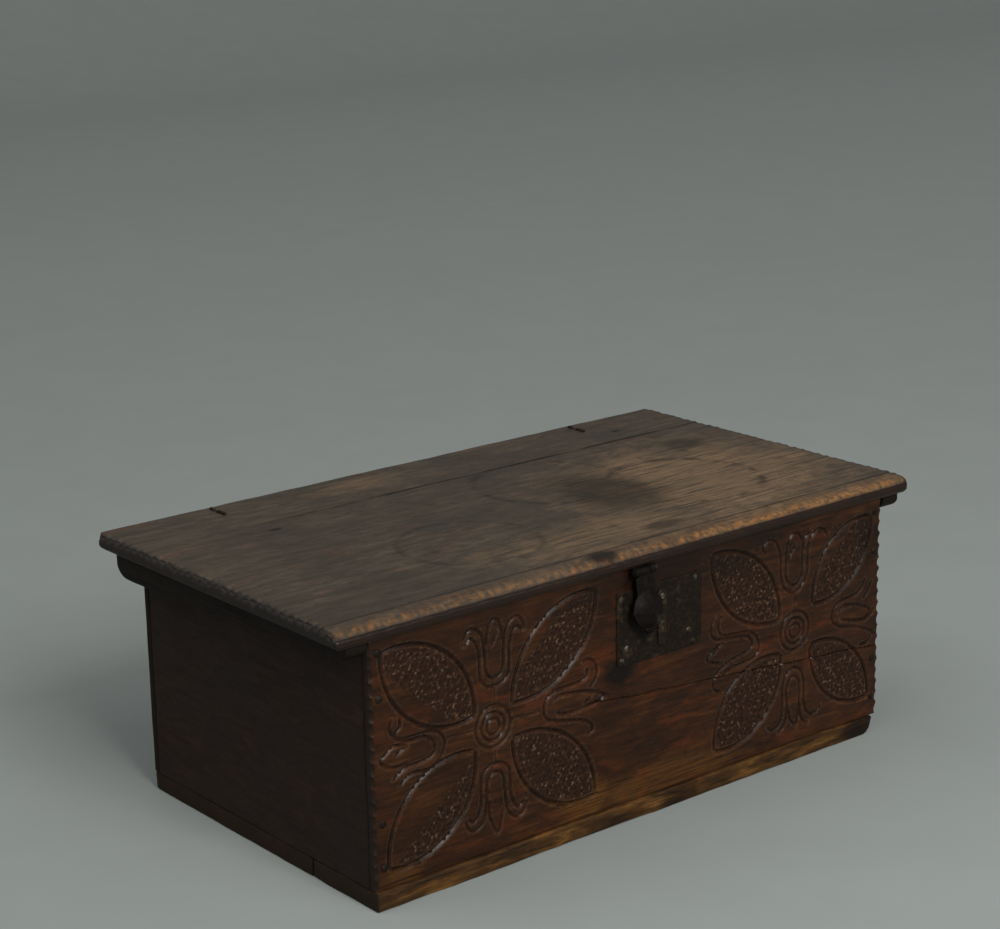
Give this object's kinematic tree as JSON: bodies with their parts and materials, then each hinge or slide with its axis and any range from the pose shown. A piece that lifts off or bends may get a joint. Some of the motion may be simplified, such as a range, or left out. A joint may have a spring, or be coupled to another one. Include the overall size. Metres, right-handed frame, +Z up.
{
  "type": "bible box",
  "caption": "Boarded oak box with a flower-carved front, an overhanging hinged lid with cleats and a moulded front edge, and an iron hasp lock.",
  "frame": {"origin": "middle of the carcase's plan on the underside of the base boards", "axes": "+X to the right along the carved front, +Y from the front to the back, +Z up"},
  "size_m": [0.691, 0.3963, 0.2599],
  "materials": {
    "carved_oak": "waxed, worn, dark",
    "carcase_oak": "waxed, dark",
    "base_oak": "worn, dry",
    "lid_oak": "waxed, grey-brown",
    "cleat_oak": "waxed, dark",
    "wrought_iron": "dark, worn bright on edges",
    "nail_iron": "dark"
  },
  "bodies": {
    "box": {"back_board": "carcase_oak", "back_nails_left": "nail_iron", "back_nails_right": "nail_iron", "bolt_keeper_left": "wrought_iron", "bolt_keeper_right": "wrought_iron", "bolt_spring": "wrought_iron", "bottom_board_front": "base_oak", "bottom_board_rear": "base_oak", "bottom_nails": "nail_iron", "front_board": "carved_oak", "front_nails_left": "nail_iron", "front_nails_right": "nail_iron", "keyhole_cover_rivet": "wrought_iron", "left_end": "carcase_oak", "left_hinge_lower": "wrought_iron", "lock_plate": "wrought_iron", "lock_plate_nails": "nail_iron", "right_end": "carcase_oak", "right_hinge_lower": "wrought_iron", "ward_bridge": "wrought_iron"},
    "lid": {"lid_board": "lid_oak", "lid_rear_board": "lid_oak", "left_cleat": "cleat_oak", "right_cleat": "cleat_oak", "left_cleat_nails": "nail_iron", "right_cleat_nails": "nail_iron", "left_hinge_upper": "wrought_iron", "right_hinge_upper": "wrought_iron", "hasp_strap": "wrought_iron", "hasp_strap_nails": "nail_iron", "hasp_pin": "wrought_iron"},
    "hasp": {"hasp": "wrought_iron", "hasp_staple": "wrought_iron"},
    "keyhole_cover": {"keyhole_cover": "wrought_iron"},
    "bolt": {"lock_bolt": "wrought_iron"}
  },
  "joints": [
    {"name": "lid_hinge", "type": "hinge", "parent": "box", "child": "lid", "pos_m": [0, 0.18, 0.2345], "axis": [-1, 0, 0], "range_deg": [0, 121]},
    {"name": "hasp_swing", "type": "hinge", "parent": "lid", "child": "hasp", "pos_m": [-0.0095, -0.1822, 0.2378], "axis": [-1, 0, 0], "range_deg": [-11.3, 80]},
    {"name": "keyhole_cover_swing", "type": "hinge", "parent": "box", "child": "keyhole_cover", "pos_m": [0.0155, -0.179, 0.2082], "axis": [0, -1, 0], "range_deg": [0, 80]},
    {"name": "lock_bolt_slide", "type": "slide", "parent": "box", "child": "bolt", "axis": [-1, 0, 0], "range_m": [0, 0.01]}
  ]
}
